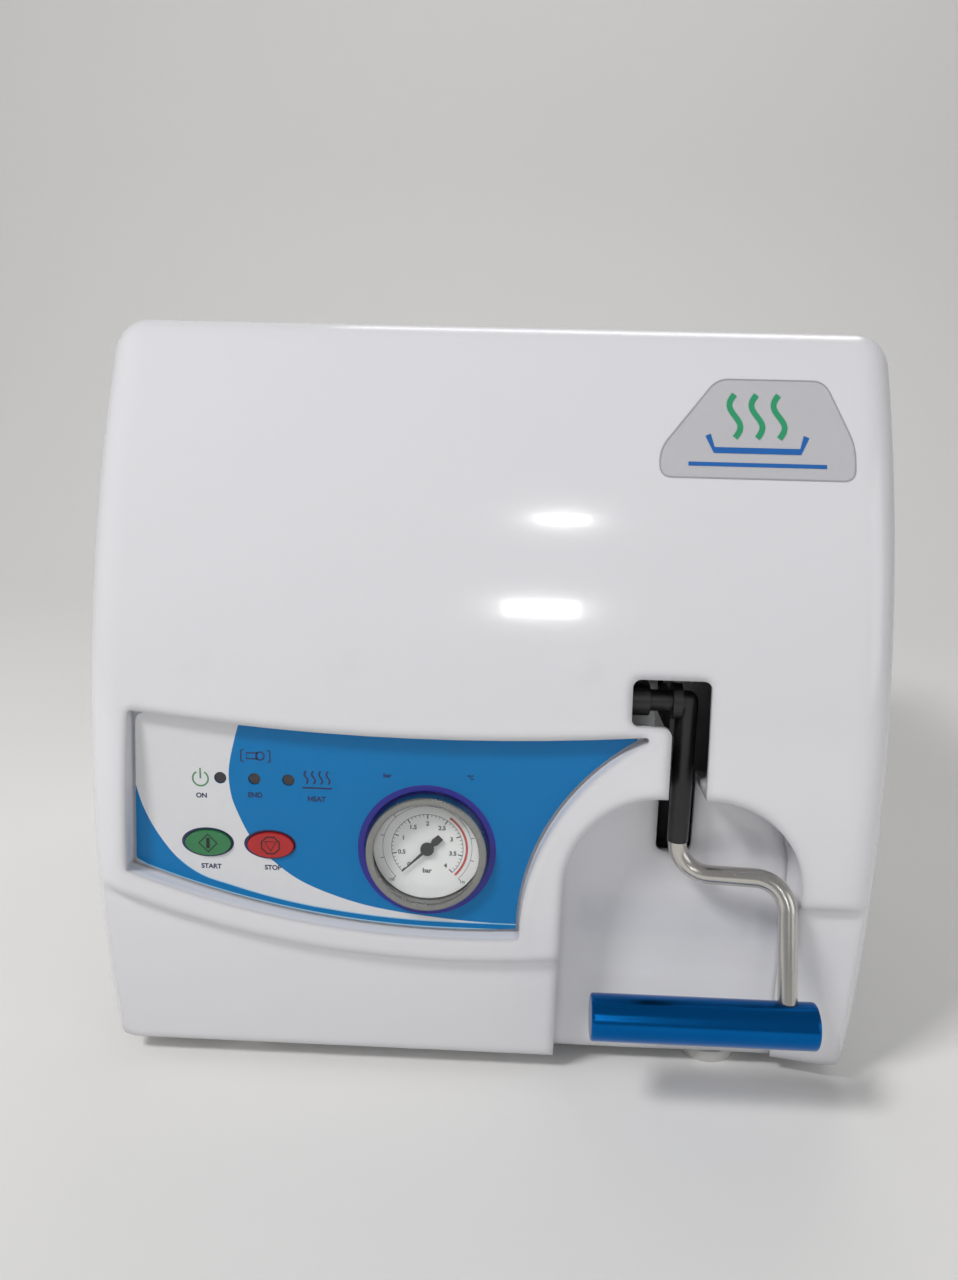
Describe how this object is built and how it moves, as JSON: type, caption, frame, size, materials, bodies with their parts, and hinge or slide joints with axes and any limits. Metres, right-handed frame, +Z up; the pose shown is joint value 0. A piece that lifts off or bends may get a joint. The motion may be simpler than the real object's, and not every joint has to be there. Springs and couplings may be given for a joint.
{
  "type": "autoclave",
  "caption": "White tabletop steam autoclave with a barrel-curved front door, blue control panel, pressure gauge and blue-gripped lever that locks a round steel chamber.",
  "frame": {"origin": "on the table, under the middle of the bounding box", "axes": "+X right seen from the front, -Y front, +Z up"},
  "size_m": [0.3402, 0.435, 0.33],
  "materials": {
    "shell_white": "glossy moulded, fine flow marks",
    "overlay_blue": "printed film",
    "button_green": "soft silicone",
    "button_red": "soft silicone",
    "board_green": "solder mask",
    "lamp_red": "tinted lens",
    "stainless": "satin, drawn",
    "zinc_steel": "zinc plated",
    "black_lacquer": "semi gloss lacquer",
    "blue_anodised": "bead blasted, anodised",
    "dial_white": "printed",
    "clear_lens": "clear",
    "alloy": "machined",
    "silicone": "moulded silicone",
    "foot_rubber": "light grey rubber",
    "blanket_wool": "pressed fibre felt",
    "mica_band": "heat tinted",
    "bronze": "sintered",
    "brass_plain": "machined",
    "black_plastic": "moulded",
    "sheet_grey": "powder coated"
  },
  "bodies": {
    "base": {"striker_bracket": "zinc_steel", "striker_pin": "stainless", "pressure_chamber": "stainless", "band_heater": "mica_band", "insulation_blanket": "blanket_wool", "hinge_frame_leaf": "stainless", "hinge_pin": "stainless", "hinge_frame_screws": "stainless", "base_plate": "zinc_steel", "rubber_feet": "foot_rubber", "foot_screws": "zinc_steel", "front_frame": "stainless", "striker_screws": "zinc_steel", "rear_housing": "shell_white", "rear_panel": "sheet_grey", "rear_panel_screws": "zinc_steel", "chamber_cradle": "zinc_steel", "tray_rack": "stainless", "instrument_tray_1": "stainless", "instrument_tray_2": "stainless", "instrument_tray_3": "stainless", "exhaust_pipe": "stainless", "solenoid_valve": "brass_plain", "valve_coil": "black_plastic", "drain_pipe": "silicone", "drain_fitting": "brass_plain", "safety_valve": "brass_plain", "control_thermostat": "black_plastic", "mains_inlet": "black_plastic", "fuse_holder": "black_plastic", "switch_housing": "black_plastic"},
    "door": {"front_cover": "shell_white", "panel_overlay": "overlay_blue", "control_board": "board_green", "board_screws": "zinc_steel", "indicator_lamps": "lamp_red", "gauge_case": "stainless", "gauge_bezel": "stainless", "gauge_lens": "clear_lens", "gauge_dial": "dial_white", "door_bridge": "zinc_steel", "bearing_blocks": "alloy", "shaft_bushes": "bronze", "disc_springs": "stainless", "hinge_door_leaf": "stainless", "hinge_door_screws": "stainless"},
    "lid": {"chamber_lid": "alloy", "lid_gasket": "silicone", "pressure_stud": "stainless"},
    "lever": {"lever_shaft": "black_lacquer", "lever_rod": "stainless", "lever_grip": "blue_anodised", "pressure_cam": "zinc_steel", "latch_claw": "zinc_steel"},
    "start_button": {"start_button": "button_green"},
    "stop_button": {"stop_button": "button_red"},
    "gauge_needle": {"gauge_needle": "black_lacquer"},
    "mains_rocker": {"mains_rocker": "black_plastic"},
    "safety_ring": {"safety_valve_ring": "stainless"}
  },
  "joints": [
    {"name": "door_hinge", "type": "hinge", "parent": "base", "child": "door", "pos_m": [-0.1702, -0.1, 0.175], "axis": [0, 0, -1], "range_deg": [0, 105]},
    {"name": "lever_turn", "type": "hinge", "parent": "door", "child": "lever", "pos_m": [0, -0.174, 0.179], "axis": [-1, 0, 0], "range_deg": [-4, 95]},
    {"name": "lid_press", "type": "slide", "parent": "door", "child": "lid", "axis": [0, 1, 0], "range_m": [-0.0012, 0.0001]},
    {"name": "start_button_press", "type": "slide", "parent": "door", "child": "start_button", "axis": [0, 1, 0], "range_m": [0, 0.0008], "stiffness_N_per_m": 400},
    {"name": "stop_button_press", "type": "slide", "parent": "door", "child": "stop_button", "axis": [0, 1, 0], "range_m": [0, 0.0008], "stiffness_N_per_m": 400},
    {"name": "gauge_needle_turn", "type": "hinge", "parent": "door", "child": "gauge_needle", "pos_m": [-0.023, -0.178, 0.111], "axis": [0, 1, 0], "range_deg": [0, 270], "stiffness_Nm_per_rad": 0.002},
    {"name": "mains_rocker_tilt", "type": "hinge", "parent": "base", "child": "mains_rocker", "pos_m": [0.052, 0.189, 0.045], "axis": [-1, 0, 0], "range_deg": [0, 18]},
    {"name": "safety_valve_lift", "type": "slide", "parent": "base", "child": "safety_ring", "axis": [0, 1, 0], "range_m": [0, 0.003], "stiffness_N_per_m": 2000}
  ],
  "couplings": [
    {"joint": "lid_press", "follows": "lever_turn", "m_per_rad": -0.00072}
  ]
}
